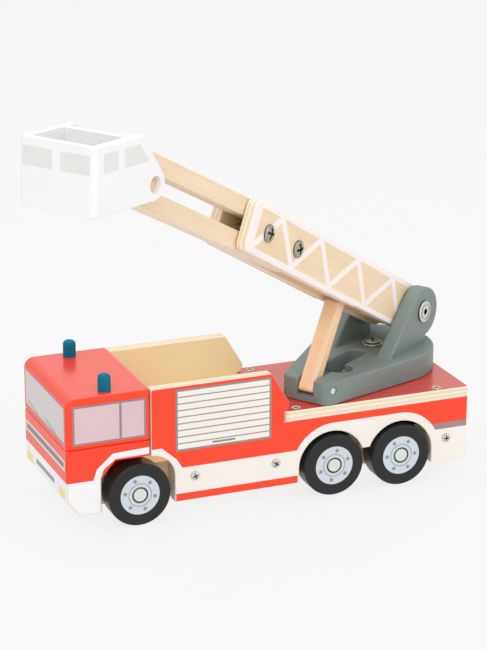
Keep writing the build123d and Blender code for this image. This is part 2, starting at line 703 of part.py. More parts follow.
def basket_pieces():
    """The pieces of the rescue basket, in its frame."""
    return {
        "basket_cheek_left": basket_cheek(LEFT),
        "basket_cheek_right": basket_cheek(RIGHT),
        "basket_front_wall": basket_front_wall(),
        "basket_rear_wall": basket_rear_wall(),
        "basket_floor": basket_floor(),
        "basket_pin": basket_pin(),
        "basket_spacers": basket_spacers(),
    }


def write(name, shape, place):
    """Writes one piece, or a group of like pieces, where it belongs on the truck."""
    if isinstance(shape, list):
        shape = Compound(children=[place * one for one in shape])
    else:
        shape = place * shape
    export_step(shape, f"parts/{name}.step")


os.makedirs("parts", exist_ok=True)
GROUPS = [
    (Location(), truck_pieces()),
    (TURNTABLE, turntable_pieces()),
    (PROP, {"prop": prop()}),
    (BOOM, boom_pieces()),
    (EXTENSION, {"extension_board": extension_board()}),
    (BASKET, basket_pieces()),
]
for frame, pieces in GROUPS:
    for piece_name, piece in pieces.items():
        write(piece_name, piece, frame)
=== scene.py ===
import json
import math

import bpy
from mathutils import Matrix, Vector


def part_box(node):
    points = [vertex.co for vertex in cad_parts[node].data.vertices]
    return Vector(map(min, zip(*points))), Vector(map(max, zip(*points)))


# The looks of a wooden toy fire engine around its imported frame. Objects are in metres.
# Materials work in millimetres, in the axes of the board that they cover.

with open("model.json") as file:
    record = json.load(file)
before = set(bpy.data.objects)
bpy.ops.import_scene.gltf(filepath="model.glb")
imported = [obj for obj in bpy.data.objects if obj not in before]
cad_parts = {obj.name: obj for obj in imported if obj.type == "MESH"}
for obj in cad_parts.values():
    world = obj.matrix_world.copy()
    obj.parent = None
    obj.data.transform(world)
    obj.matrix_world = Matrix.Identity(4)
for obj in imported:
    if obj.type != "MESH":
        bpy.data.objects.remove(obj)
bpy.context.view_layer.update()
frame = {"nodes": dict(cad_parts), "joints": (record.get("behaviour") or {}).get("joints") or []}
JOINTS = {joint["name"]: joint for joint in frame["joints"]}
MM = 1000.0

# Camera, light and varnish
CAMERA_AZIMUTH = 22.37
CAMERA_ELEVATION = 18.73
CAMERA_ROLL = 0.21
CAMERA_DISTANCE = 1.4
CAMERA_TARGET = (-0.0464, -0.1054, 0.1348)
CAMERA_LENS = 131.9
BACKDROP_LEVEL = 248
FLOOR_SIZE = 16.0
COAT_ROUGHNESS = 0.2

# Directions of the truck, and of the ladder as it is stored, with angles in degrees
X, Y, Z = Vector((1, 0, 0)), Vector((0, 1, 0)), Vector((0, 0, 1))
LATERAL = Vector(JOINTS["boom_pitch"]["axis"]).normalized()
EXTEND = Vector(JOINTS["ladder_extend"]["axis"]).normalized()
EXTENSION_DROOP = 1.7
BASKET_TILT = 2.5
PROP_LEAN = 31.6


def turned(direction, degrees):
    """A direction in the ladder's upright plane, raised by some degrees."""
    return Matrix.Rotation(math.radians(degrees), 3, LATERAL) @ direction


HEADING = (EXTEND - EXTEND.project(Z)).normalized()
BOOM_ALONG = turned(EXTEND, EXTENSION_DROOP)
BASKET_ALONG = turned(HEADING, BASKET_TILT)
PROP_ALONG = turned(Z, PROP_LEAN)


def srgb(red, green, blue):
    """A screen colour as the linear colour that shaders use."""
    linear = []
    for level in (red / 255, green / 255, blue / 255):
        linear.append(level / 12.92 if level <= 0.04045 else ((level + 0.055) / 1.055) ** 2.4)
    return (*linear, 1.0)


def box_mm(node):
    """The lowest and highest corner of a node's box, in millimetres."""
    return [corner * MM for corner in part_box(node)]


def joint_mm(name):
    """A joint's place, in millimetres."""
    return [value * MM for value in JOINTS[name]["pos_m"]]


def inset(span, margin):
    """A stretch between two values, made shorter by a margin at each end."""
    return span[0] + margin, span[1] - margin


def around(middle, width):
    """A stretch of some width around its middle."""
    return middle - width / 2, middle + width / 2


def raised(heights, base):
    """Two heights above a base."""
    return base + heights[0], base + heights[1]


RED = srgb(246, 62, 24)
# The body red darkened for the deck: painted shade, because the deck is lit less than the sides
SHADED_DECK_RED = srgb(208, 54, 34)
WHITE = srgb(241, 234, 226)
CLEAN_WHITE = srgb(243, 240, 241)
BASKET_WHITE = srgb(241, 241, 241)
GREY_STRIPE = srgb(142, 140, 137)
FRAME_GREY = srgb(148, 132, 136)
GLASS = srgb(219, 190, 194)
WINDSCREEN = srgb(208, 196, 198)
LAMP_YELLOW = srgb(244, 220, 120)
SHUTTER_GREY = srgb(146, 138, 134)
TRUSS_WHITE = srgb(247, 238, 236)
WINDOW_GREY = srgb(226, 226, 222)
TURNTABLE_GREY = srgb(116, 128, 125)
BLACK = srgb(35, 35, 35)
TEAL = srgb(0, 112, 138)
HUB = srgb(204, 211, 217)
HUB_LINE = srgb(140, 146, 152)
HUB_SHADE = srgb(104, 108, 112)
AXLE_PAINT = srgb(214, 218, 210)
BIRCH_LIGHT = srgb(240, 220, 190)
BIRCH_DARK = srgb(230, 198, 152)
# Birch for the side panels, paler than BIRCH_LIGHT and BIRCH_DARK: painted light against the shade inside
# the bay
BAY_LIT_PALE = srgb(255, 246, 204)
BAY_LIT_DEEP = srgb(252, 236, 184)
PLY_PALE = srgb(250, 238, 220)
PLY_DARK = srgb(236, 216, 186)
PLY_GLUE = srgb(196, 172, 144)
BEECH_LIGHT = srgb(250, 215, 176)
BEECH_DARK = srgb(234, 186, 142)
STEEL = srgb(214, 214, 206)
# The guide bolts' steel, darker than STEEL to stand in for their dark reflections: painted reflection
DIMMED_BOLT_STEEL = srgb(172, 164, 148)
# Dark steel, for stains and for painted shade in recesses and on the sides of heads
STEEL_STAIN_AND_SHADE = srgb(52, 50, 48)
WIPER = srgb(96, 84, 90)
GRILLE_RIM = srgb(226, 220, 216)
GRILLE_BAR = srgb(110, 102, 108)
PLATE_GREY = srgb(132, 134, 144)
WORN_BLACK = srgb(70, 66, 64)
STREAK_GREY = srgb(142, 148, 142)

# Sizes of the prints, in millimetres
PANEL_SKIRT = 22.4
CAB_SKIRT = 22.9
ARCH_BAND_RADIUS = 28.5
FRONT_SHOULDER = ((15.1, 28.1), (25.1, 19.3), (28.9, 13.1))  # from the front axle
FRONT_CROWN = 28.0
SHUTTER_PLACE = (16.0, -2.0)  # from the panel's front end and its top
SHUTTER_SIZE = (64.3, 40.9)
SHUTTER_FRAME = 1.4
SHUTTER_SLATS = 9
SHUTTER_HANDLE = (15.5, 1.4)
WINDOW_FRAME = 1.3
WINDOW_PILLAR = (19.3, 1.6)  # its distance from the back of the cab, and its width
WINDSCREEN_FRAME = 0.9
WIPER_FEET = (-22.5, 12.5)
WIPER_REACH = 21.3
WIPER_WIDTH = 0.7
GRILLE_DROP = 10.6
LAMP_Y = (26.5, 38.5)
LAMP_HEIGHTS = (9.6, 17.0)
PLATE_Y = (-17.5, 19.5)
PLATE_HEIGHTS = (14.2, 17.4)
BUMPER_DEPTH = 22.9
TRUSS_LOW, TRUSS_HIGH = -12.0, 12.4
TRUSS_BRACE = 4.3
TRUSS_TIP = 216.0
TRUSS_BORDER = 7.5
TRUSS_UPPER = [31.6 + 50.7 * number for number in range(4)]  # where the braces meet the border
TRUSS_LOWER = [9.9 + 50.0 * number for number in range(5)]
HUB_RADIUS = 12.85
HUB_RING_RADIUS = 7.45
HUB_SHADE_RADIUS = 5.4
HUB_DOTS = 6
HUB_DOT_RADIUS = 1.25
HUB_DOT_CIRCLE = 9.95

# Distances from the middle of the truck or of the ladder to faces of pieces, in millimetres
WHEEL_FACE_SINK = 44.6
AXLE_END = 42.0
BOOM_INNER, BOOM_OUTER = 7.5, 15.0
EAR_OUTER = 26.4
EXTENSION_HALF = 7.0
BASKET_OUTER = 24.0
BASKET_FRONT = 54.0

# The basket's windows, in millimetres ahead of its pin, above it and from its middle
FRONT_PANE_ACROSS = (2.8, 22.5)
FRONT_PANE_HEIGHTS = (14.0, 24.7)
SIDE_PANE_HEIGHTS = (14.2, 25.0)
SIDE_PANE_AHEAD = (34.0, 47.0)
REAR_PANE_AHEAD = 28.6
REAR_PANE_SLANT = ((6.3, 14.2), (14.5, 25.0))


class Look:
    """One material, whose nodes are made by short calls.

    u runs along a board's grain, v across it and w through its thickness, in millimetres.
    """

    def __init__(self, name, origin=(0, 0, 0), axes=(X, Z, Y), seed=0.0):
        self.material = bpy.data.materials.new(name)
        self.material.use_nodes = True
        self.nodes = self.material.node_tree.nodes
        self.links = self.material.node_tree.links
        self.nodes.clear()
        self.seed = seed
        self.axes = axes
        place = self.nodes.new("ShaderNodeTexCoord")
        self.normal = place.outputs["Normal"]
        shifted = self.vector("SUBTRACT", place.outputs["Object"], origin)
        self.u, self.v, self.w = (self.dot(shifted, axis * MM) for axis in axes)
        self.point = self.node("ShaderNodeCombineXYZ", self.u, self.v, self.w).outputs[0]

    def node(self, kind, *values, **settings):
        """A new node with its settings, and its first inputs linked or set."""
        made = self.nodes.new(kind)
        for key, value in settings.items():
            setattr(made, key, value)
        for socket, value in zip(made.inputs, values):
            self.put(socket, value)
        return made

    def put(self, socket, value):
        """Links an output to an input, or sets the input to a plain value."""
        if isinstance(value, bpy.types.NodeSocket):
            self.links.new(value, socket)
        else:
            socket.default_value = value

    def math(self, operation, *values):
        """The result of a Math node."""
        return self.node("ShaderNodeMath", *values, operation=operation).outputs[0]

    def vector(self, operation, *values):
        """The result of a Vector Math node that gives a vector."""
        return self.node("ShaderNodeVectorMath", *values, operation=operation).outputs[0]

    def dot(self, vector, axis):
        """A vector's part along an axis."""
        return self.node("ShaderNodeVectorMath", vector, axis, operation="DOT_PRODUCT").outputs["Value"]

    def ramp(self, value, low, high, start=0.0, end=1.0):
        """start below low, end above high, and even between them."""
        return self.node("ShaderNodeMapRange", value, low, high, start, end).outputs[0]

    def facing(self, axis, low=0.5, high=0.75):
        """1 where the surface faces along the axis, and 0 where it turns away."""
        return self.ramp(self.dot(self.normal, axis), low, high)

    def fill(self, distance, blur=0.07):
        """1 inside a shape, from the distance to its outline."""
        return self.ramp(distance, -blur, blur, 1.0, 0.0)

    def any_of(self, first, *rest):
        """1 where any of some masks is 1."""
        for other in rest:
            first = self.math("MAXIMUM", first, other)
        return first

    def all_of(self, first, *rest):
        """1 where all of some masks are 1."""
        for other in rest:
            first = self.math("MULTIPLY", first, other)
        return first

    def outside(self, mask):
        """1 where a mask is 0."""
        return self.math("SUBTRACT", 1.0, mask)

    def span(self, value, low, high):
        """The distance to the stretch between two values, negative within it."""
        from_middle = self.math("ABSOLUTE", self.math("SUBTRACT", value, (low + high) / 2))
        return self.math("SUBTRACT", from_middle, (high - low) / 2)

    def box(self, u, v, u_span, v_span):
        """The distance to a rectangle's outline, negative within it."""
        return self.math("MAXIMUM", self.span(u, *u_span), self.span(v, *v_span))

    def radius(self, u, v, centre):
        """The distance from a point."""
        across = self.math("SUBTRACT", u, centre[0])
        up = self.math("SUBTRACT", v, centre[1])
        square = self.math("MULTIPLY_ADD", across, across, self.math("MULTIPLY", up, up))
        return self.math("SQRT", square)

    def disc(self, u, v, centre, radius):
        """The distance to a circle, negative within it."""
        return self.math("SUBTRACT", self.radius(u, v, centre), radius)

    def line(self, u, v, start, end, width):
        """The distance to a straight band through two points, as long as the plane."""
        run, rise = end[0] - start[0], end[1] - start[1]
        length = math.hypot(run, rise)
        normal = (-rise / length, run / length)
        offset = normal[0] * start[0] + normal[1] * start[1]
        upward = self.math("MULTIPLY_ADD", v, normal[1], -offset)
        side = self.math("MULTIPLY_ADD", u, normal[0], upward)
        return self.math("SUBTRACT", self.math("ABSOLUTE", side), width / 2)

    def below(self, u, v, start, end):
        """Positive above the line through two points that run toward +u, and negative below."""
        run, rise = end[0] - start[0], end[1] - start[1]
        length = math.hypot(run, rise)
        offset = (-rise * start[0] + run * start[1]) / length
        upward = self.math("MULTIPLY_ADD", v, run / length, -offset)
        return self.math("MULTIPLY_ADD", u, -rise / length, upward)

    def noise(self, stretch, detail=3.0, rough=0.55, shift=0.0, warp=0.0):
        """Noise from 0 to 1, whose features are about 1 / stretch mm long on each axis."""
        offset = (self.seed + shift, 3.1 * self.seed, 7.7 * self.seed)
        spread = self.vector("MULTIPLY_ADD", self.point, stretch, offset)
        made = self.nodes.new("ShaderNodeTexNoise")
        made.inputs["Scale"].default_value = 1.0
        made.inputs["Detail"].default_value = detail
        made.inputs["Roughness"].default_value = rough
        made.inputs["Distortion"].default_value = warp
        self.links.new(spread, made.inputs["Vector"])
        return made.outputs["Fac"]

    def mix(self, mask, under, over):
        """One colour laid over another where a mask is 1."""
        made = self.nodes.new("ShaderNodeMix")
        made.data_type = "RGBA"
        self.put(made.inputs["Factor"], mask)
        self.put(made.inputs[6], under)
        self.put(made.inputs[7], over)
        return made.outputs[2]

    def lerp(self, mask, under, over):
        """One value laid over another where a mask is 1."""
        made = self.nodes.new("ShaderNodeMix")
        self.put(made.inputs["Factor"], mask)
        self.put(made.inputs[2], under)
        self.put(made.inputs[3], over)
        return made.outputs[0]

    def over(self, mask, under, over):
        """One finish laid over another. A finish is a colour, a roughness and a height."""
        return (
            self.mix(mask, under[0], over[0]),
            self.lerp(mask, under[1], over[1]),
            self.lerp(mask, under[2], over[2]),
        )

    def done(self, finish, bump, metallic=0.0, coat=0.0, specular=0.5):
        """Connects a finish to the surface. bump is the height in millimetres of a height of 1."""
        colour, roughness, height = finish
        surface = self.nodes.new("ShaderNodeBsdfPrincipled")
        self.put(surface.inputs["Base Color"], colour)
        self.put(surface.inputs["Roughness"], roughness)
        surface.inputs["Metallic"].default_value = metallic
        self.put(surface.inputs["Coat Weight"], coat)
        surface.inputs["Coat Roughness"].default_value = COAT_ROUGHNESS
        surface.inputs["Specular IOR Level"].default_value = specular
        relief = self.nodes.new("ShaderNodeBump")
        relief.inputs["Distance"].default_value = bump / MM
        self.put(relief.inputs["Height"], height)
        self.links.new(relief.outputs[0], surface.inputs["Normal"])
        output = self.nodes.new("ShaderNodeOutputMaterial")
        self.links.new(surface.outputs[0], output.inputs["Surface"])
        return self.material


# Finishes. Each returns a colour, a roughness and a height.


def wood(look, light, dark, pores=0.2):
    """Sanded wood: slow bands, fine fibres along the grain, and short dark pores."""
    bands = look.noise((0.010, 0.11, 0.11), detail=2.0, warp=0.6)
    fibres = look.noise((0.030, 1.9, 1.9), detail=4.0, rough=0.65, shift=11)
    specks = look.ramp(look.noise((0.22, 3.2, 3.2), detail=1.0, shift=23), 0.63, 0.72)
    tone = look.math("MULTIPLY_ADD", fibres, 0.55, look.math("MULTIPLY", bands, 0.75))
    colour = look.mix(look.ramp(tone, 0.42, 1.0), light, dark)
    shade = tuple(0.7 * level for level in dark[:3]) + (1.0,)
    colour = look.mix(look.math("MULTIPLY", specks, pores), colour, shade)
    roughness = look.ramp(fibres, 0.3, 0.7, 0.48, 0.62)
    height = look.math("SUBTRACT", look.math("MULTIPLY", fibres, 0.5), look.math("MULTIPLY", specks, 0.3))
    return colour, roughness, height


def ply_edge(look, low, high, plies):
    """The edge of plywood: long grain and end grain by turns, with thin glue lines."""
    ply = (high - low) / plies
    waver = look.math("MULTIPLY", look.noise((0.02, 0.02, 0.3), shift=31), 0.3 * ply)
    depth = look.math("ADD", look.math("SUBTRACT", look.w, low + 0.15 * ply), waver)
    layer = look.math("DIVIDE", depth, ply)
    from_line = look.math("PINGPONG", layer, 0.5)
    glue = look.ramp(from_line, 0.03, 0.14, 1.0, 0.0)
    end_ply = look.ramp(look.math("PINGPONG", look.math("SUBTRACT", layer, 0.5), 1.0), 0.45, 0.55)
    ends = look.noise((1.6, 1.6, 2.6), detail=3.0, shift=37)
    long_grain = look.noise((0.12, 0.12, 2.2), detail=3.0, shift=41)
    pale = look.mix(look.ramp(long_grain, 0.3, 0.8, 0.0, 0.4), PLY_PALE, PLY_DARK)
    dark = look.mix(look.ramp(ends, 0.35, 0.7, 0.0, 0.5), PLY_DARK, PLY_GLUE)
    colour = look.mix(look.math("MULTIPLY", end_ply, 0.7), pale, dark)
    colour = look.mix(look.math("MULTIPLY", glue, 0.55), colour, PLY_GLUE)
    height = look.math("SUBTRACT", look.math("MULTIPLY", ends, 0.5), look.math("MULTIPLY", glue, 0.3))
    return colour, look.ramp(ends, 0.3, 0.7, 0.55, 0.7), height


def plywood(look, low, high, plies=5, light=BIRCH_LIGHT, dark=BIRCH_DARK):
    """A plywood board: birch grain on its faces and its plies along its edges."""
    across = look.dot(look.normal, look.axes[2])
    edge = look.ramp(look.math("ABSOLUTE", across), 0.62, 0.86, 1.0, 0.0)
    return look.over(edge, wood(look, light, dark), ply_edge(look, low, high, plies))


def paint(look, colour, gloss, grain=0.5):
    """Sprayed paint on sanded wood: faint clouds, fine peel, and the grain showing through."""
    clouds = look.noise((0.035, 0.035, 0.035), detail=3.0, shift=53)
    peel = look.noise((0.6, 0.6, 0.6), detail=1.0, shift=59)
    fibres = look.noise((0.05, 1.4, 1.4), detail=4.0, rough=0.6, shift=61)
    shade = look.math("MULTIPLY_ADD", clouds, 0.08, look.math("MULTIPLY", fibres, 0.04 * grain))
    tinted = look.nodes.new("ShaderNodeHueSaturation")
    look.put(tinted.inputs["Value"], look.math("ADD", shade, 0.94))
    look.put(tinted.inputs["Color"], colour)
    roughness = look.ramp(peel, 0.3, 0.7, gloss - 0.03, gloss + 0.04)
    height = look.math("MULTIPLY_ADD", fibres, 0.35 * grain, look.math("MULTIPLY", peel, 0.12))
    return tinted.outputs[0], roughness, height


def worn(look, finish, wear_colour, amount):
    """A painted finish rubbed thin in small spots."""
    spots = look.noise((0.45, 0.45, 0.45), detail=5.0, rough=0.7, shift=71)
    mask = look.math("MULTIPLY", look.ramp(spots, 0.70, 0.78), amount)
    return look.mix(mask, finish[0], wear_colour), finish[1], finish[2]


# Printed decoration. Each returns a colour, most of them laid over a ground colour.


def panel_print(look):
    """The side panels' print, in the truck's X and Z."""
    x, z = look.u, look.v
    axle_z = joint_mm("front_axle_spin")[2]
    front, middle, rear = (joint_mm(f"{place}_axle_spin")[0] for place in ("front", "middle", "rear"))
    low, high = box_mm("side_panel_left")
    skirt_top = low.z + PANEL_SKIRT
    skirt = look.fill(look.math("SUBTRACT", z, skirt_top))
    crown = look.fill(look.math("SUBTRACT", z, axle_z + FRONT_CROWN))
    shoulder = [(front + behind, axle_z + above) for behind, above in FRONT_SHOULDER]
    slopes = [look.fill(look.below(x, z, *pair)) for pair in zip(shoulder, shoulder[1:])]
    front_arch = look.all_of(crown, *slopes)
    rear_arch = look.any_of(
        look.fill(look.disc(x, z, (middle, axle_z), ARCH_BAND_RADIUS)),
        look.fill(look.disc(x, z, (rear, axle_z), ARCH_BAND_RADIUS)),
        look.fill(look.box(x, z, (middle, rear), (low.z, axle_z + ARCH_BAND_RADIUS))),
    )
    white = look.any_of(skirt, front_arch, rear_arch)
    sill = look.fill(look.box(x, z, (front + 24.6, middle - 24.5), (low.z - 2, low.z + 5.2)))
    colour = look.mix(white, RED, WHITE)
    colour = look.mix(sill, colour, RED)
    stripe = look.all_of(
        look.fill(look.box(x, z, (rear + 20, high.x + 1), (skirt_top + 0.4, skirt_top + 4.0))),
        look.outside(rear_arch),
    )
    colour = look.mix(stripe, colour, GREY_STRIPE)
    return shutter_print(look, colour, low.x + SHUTTER_PLACE[0], high.z + SHUTTER_PLACE[1])


def shutter_print(look, ground, left, top):
    """The roller shutter: a grey frame, pale slats with thin lines between, and a handle."""
    width, height = SHUTTER_SIZE
    x, z = look.u, look.v
    outer = look.fill(look.box(x, z, (left, left + width), (top - height, top)))
    inner_x = inset((left, left + width), SHUTTER_FRAME)
    inner_z = inset((top - height, top), SHUTTER_FRAME)
    inner = look.fill(look.box(x, z, inner_x, inner_z))
    colour = look.mix(outer, ground, SHUTTER_GREY)
    colour = look.mix(inner, colour, WHITE)
    pitch = (height - SHUTTER_FRAME) / SHUTTER_SLATS
    step = look.math("SUBTRACT", z, top - height + SHUTTER_FRAME / 2)
    nearest = look.math("PINGPONG", step, pitch / 2)
    rule = look.all_of(look.ramp(nearest, 0.30, 0.46, 1.0, 0.0), inner)
    colour = look.mix(rule, colour, SHUTTER_GREY)
    handle_x = around(left + width / 2, SHUTTER_HANDLE[0])
    handle_z = around(inner_z[0] + 1.8, SHUTTER_HANDLE[1])
    handle = look.box(x, z, handle_x, handle_z)
    return look.mix(look.fill(handle), colour, SHUTTER_GREY)


def side_windows(look, ground, low, high):
    """The two windows in the side of the cab."""
    x, z = look.u, look.v
    u_span, v_span = (low.x + 4.4, high.x - 2.7), (low.z + 2.9, high.z - 5.3)
    outer = look.fill(look.box(x, z, u_span, v_span))
    glass = look.fill(look.box(x, z, inset(u_span, WINDOW_FRAME), inset(v_span, WINDOW_FRAME)))
    pillar = look.fill(look.span(x, *around(high.x - WINDOW_PILLAR[0], WINDOW_PILLAR[1])))
    colour = look.mix(outer, ground, FRAME_GREY)
    return look.mix(look.all_of(glass, look.outside(pillar)), colour, GLASS)


def windscreen(look, ground, low, high):
    """The windscreen on the front of the cab, with its two wipers."""
    y, z = look.w, look.v
    y_span = inset((-high.y, high.y), 2.8)
    v_span = (low.z + 3.6, high.z - 5.9)
    outer = look.fill(look.box(y, z, y_span, v_span))
    glass = look.fill(look.box(y, z, inset(y_span, WINDSCREEN_FRAME), inset(v_span, WINDSCREEN_FRAME)))
    colour = look.mix(outer, ground, FRAME_GREY)
    colour = look.mix(glass, colour, WINDSCREEN)
    for foot in WIPER_FEET:
        start = (foot, v_span[0] + 1.5)
        end = (foot + WIPER_REACH, v_span[0] + 3.9)
        blade = look.all_of(
            look.fill(look.line(y, z, start, end, WIPER_WIDTH)),
            look.fill(look.span(y, start[0], end[0])),
        )
        colour = look.mix(blade, colour, WIPER)
    return colour


def lower_front(look, ground, low, high):
    """The grille, headlights and plate on the front of the cab's lower half."""
    y, z = look.w, look.v
    y_span = (-high.y, high.y)
    grille_z = high.z - GRILLE_DROP
    rim = look.fill(look.box(y, z, inset(y_span, 3.3), around(grille_z, 6.8)))
    bar = look.fill(look.box(y, z, inset(y_span, 5.0), around(grille_z, 3.8)))
    colour = look.mix(look.fill(look.math("SUBTRACT", z, low.z + CAB_SKIRT)), ground, CLEAN_WHITE)
    colour = look.mix(rim, colour, GRILLE_RIM)
    colour = look.mix(bar, colour, GRILLE_BAR)
    for side in (-1, 1):
        lamp_y = sorted(side * edge for edge in LAMP_Y)
        lamp = look.fill(look.box(y, z, lamp_y, raised(LAMP_HEIGHTS, low.z)), 0.4)
        colour = look.mix(lamp, colour, LAMP_YELLOW)
    plate = look.fill(look.box(y, z, PLATE_Y, raised(PLATE_HEIGHTS, low.z)))
    return look.mix(plate, colour, PLATE_GREY)


def lower_side(look, ground, low, high):
    """The white skirt and the white band over the front wheel, on the side of the cab."""
    x, z = look.u, look.v
    skirt = look.fill(look.math("SUBTRACT", z, low.z + CAB_SKIRT))
    along, above = look.math("SUBTRACT", x, low.x), look.math("SUBTRACT", z, low.z)
    outer = [(17.0, 22.0), (19.6, 29.8), (30.2, 38.9), (high.x - low.x, 39.8)]
    inner = [(21.8, 22.0), (23.9, 29.0), (31.9, 35.1), (high.x - low.x, 35.4)]
    under_outer, under_inner = (
        look.all_of(*(look.fill(look.below(along, above, *pair)) for pair in zip(points, points[1:])))
        for points in (outer, inner)
    )
    arch = look.all_of(under_outer, look.outside(under_inner))
    colour = look.mix(look.any_of(skirt, arch), ground, CLEAN_WHITE)
    return look.mix(look.all_of(under_inner, look.outside(skirt)), colour, RED)


def truss(look, ground):
    """The lattice printed on the boom: a border and zigzag braces."""
    along, up = look.u, look.v
    inside = look.box(along, up, (-20.0, TRUSS_TIP - TRUSS_BORDER), (TRUSS_LOW, TRUSS_HIGH))
    mask = look.outside(look.fill(inside))
    rising, falling = zip(TRUSS_UPPER, TRUSS_LOWER), zip(TRUSS_UPPER, TRUSS_LOWER[1:])
    for above, below in (*rising, *falling):
        reach = sorted((above, below))
        band = look.all_of(
            look.fill(look.line(along, up, (below, TRUSS_LOW), (above, TRUSS_HIGH), TRUSS_BRACE)),
            look.fill(look.span(along, reach[0] - TRUSS_BRACE, reach[1] + TRUSS_BRACE)),
        )
        mask = look.any_of(mask, band)
    return look.mix(mask, ground, TRUSS_WHITE)


# Materials of the truck


def panel_material(name, outward):
    """Plywood, with the print on its outer face, and its bare faces made paler as painted light."""
    look = Look(f"side_panel_{name}_paint", seed=2.0 if name == "left" else 5.0)
    low, high = box_mm(f"side_panel_{name}")
    ply = plywood(look, low.y, high.y, light=BAY_LIT_PALE, dark=BAY_LIT_DEEP)
    coat = paint(look, panel_print(look), gloss=0.34, grain=0.8)
    return look.done(look.over(look.facing(outward * Y, 0.45, 0.7), ply, coat), bump=0.08)


def cab_material(name, front_print, side_print):
    """Red paint with one print on the front and another on both sides."""
    look = Look(f"{name}_paint", seed=9.0 if name == "cab_lower" else 12.0)
    low, high = box_mm(name)
    front = look.facing(-X, 0.6, 0.9)
    sides = look.any_of(look.facing(Y, 0.6, 0.9), look.facing(-Y, 0.6, 0.9))
    colour = look.mix(sides, RED, side_print(look, RED, low, high))
    colour = look.mix(front, colour, front_print(look, RED, low, high))
    if name == "cab_lower":
        bumper = look.all_of(
            look.fill(look.math("SUBTRACT", look.v, low.z + CAB_SKIRT)),
            look.fill(look.math("SUBTRACT", look.u, low.x + BUMPER_DEPTH)),
            look.outside(front),
            look.outside(sides),
        )
        colour = look.mix(bumper, colour, CLEAN_WHITE)
    shine = look.math("MULTIPLY", look.facing(Z, 0.3, 0.9), 0.8)
    return look.done(paint(look, colour, gloss=0.24, grain=0.3), bump=0.02, coat=shine)


def deck_material():
    """Plywood with a red, varnished top, its red darkened as painted shade."""
    look = Look("deck_plate_paint", axes=(X, Y, Z), seed=15.0)
    low, high = box_mm("deck_plate")
    ply = plywood(look, low.z, high.z)
    # The deck's red carries painted shade
    coat = paint(look, SHADED_DECK_RED, gloss=0.26, grain=0.8)
    top = look.facing(Z, 0.5, 0.75)
    return look.done(look.over(top, ply, coat), bump=0.06, coat=look.math("MULTIPLY", top, 0.9))


def plain_paint(name, colour, gloss, seed, specular=0.5):
    """Paint of one colour."""
    look = Look(name, axes=(X, Y, Z), seed=seed)
    return look.done(paint(look, colour, gloss), bump=0.06, specular=specular)


def turntable_paint(name, axes, seed):
    """Grey paint brushed on wood, with paler brush streaks."""
    look = Look(name, axes=axes, seed=seed)
    finish = paint(look, TURNTABLE_GREY, gloss=0.46, grain=1.3)
    streaks = look.noise((0.04, 0.8, 0.8), detail=4.0, shift=83)
    streaked = look.mix(look.ramp(streaks, 0.3, 0.75, 0.0, 0.35), finish[0], STREAK_GREY)
    return look.done((streaked, finish[1], finish[2]), bump=0.16)


def board_material(name, axes, low, high, origin=(0, 0, 0), plies=5, seed=0.0):
    """Bare plywood, whose faces lie at low and high along its third axis."""
    look = Look(name, origin=origin, axes=axes, seed=seed)
    return look.done(plywood(look, low, high, plies), bump=0.10)


def solid_wood(name, axes, light, dark, seed, origin=(0, 0, 0), pores=0.4):
    """Bare wood, whose grain runs along its first axis."""
    look = Look(name, origin=origin, axes=axes, seed=seed)
    return look.done(wood(look, light, dark, pores), bump=0.10)


def wheel_material(place, side, phase):
    """Black paint, with a pale hub printed on the outer face."""
    joint = JOINTS[f"{place}_axle_spin"]
    look = Look(f"wheel_{place}_{side}_paint", origin=joint["pos_m"], seed=20.0 + phase)
    x, z = look.u, look.v
    colour = look.mix(look.fill(look.disc(x, z, (0, 0), HUB_RADIUS)), BLACK, HUB)
    ring = look.math("SUBTRACT", look.math("ABSOLUTE", look.disc(x, z, (0, 0), HUB_RING_RADIUS)), 0.28)
    colour = look.mix(look.fill(ring), colour, HUB_LINE)
    colour = look.mix(look.fill(look.disc(x, z, (0, 0), HUB_SHADE_RADIUS)), colour, HUB_SHADE)
    for number in range(HUB_DOTS):
        angle = math.radians(phase + 360 / HUB_DOTS * number)
        centre = (HUB_DOT_CIRCLE * math.cos(angle), HUB_DOT_CIRCLE * math.sin(angle))
        colour = look.mix(look.fill(look.disc(x, z, centre, HUB_DOT_RADIUS), 0.15), colour, HUB_LINE)
    outward = Y if side == "right" else -Y
    face = look.facing(outward, 0.7, 0.9)
    black = worn(look, paint(look, BLACK, gloss=0.34, grain=0.6), WORN_BLACK, 0.3)
    hub = paint(look, colour, gloss=0.42, grain=0.5)
    sunken = look.fill(look.math("SUBTRACT", look.math("ABSOLUTE", look.w), WHEEL_FACE_SINK))
    printed = look.all_of(face, look.outside(sunken))
    return look.done(look.over(printed, black, hub), bump=0.08, specular=0.3)


def axle_material(place):
    """Beech, with its ends dabbed in pale paint."""
    joint = JOINTS[f"{place}_axle_spin"]
    look = Look(f"axle_{place}_wood", origin=joint["pos_m"], axes=(Y, Z, X), seed=30.0)
    raw = wood(look, BEECH_LIGHT, BEECH_DARK, 0.4)
    ends = look.ramp(look.math("ABSOLUTE", look.u), AXLE_END, AXLE_END + 0.4)
    return look.done(look.over(ends, raw, paint(look, AXLE_PAINT, gloss=0.5, grain=1.5)), bump=0.14)


def boom_material(name, outward):
    """Plywood with the lattice printed on its outer face."""
    pivot = Vector(JOINTS["boom_pitch"]["pos_m"])
    up = LATERAL.cross(BOOM_ALONG)
    look = Look(f"boom_plate_{name}_wood", origin=pivot, axes=(BOOM_ALONG, up, LATERAL), seed=40.0)
    side = 1 if name == "right" else -1
    low, high = sorted((side * BOOM_INNER, side * BOOM_OUTER))
    ply = plywood(look, low, high)
    printed = (truss(look, ply[0]), ply[1], ply[2])
    return look.done(look.over(look.facing(outward * LATERAL, 0.55, 0.8), ply, printed), bump=0.10)


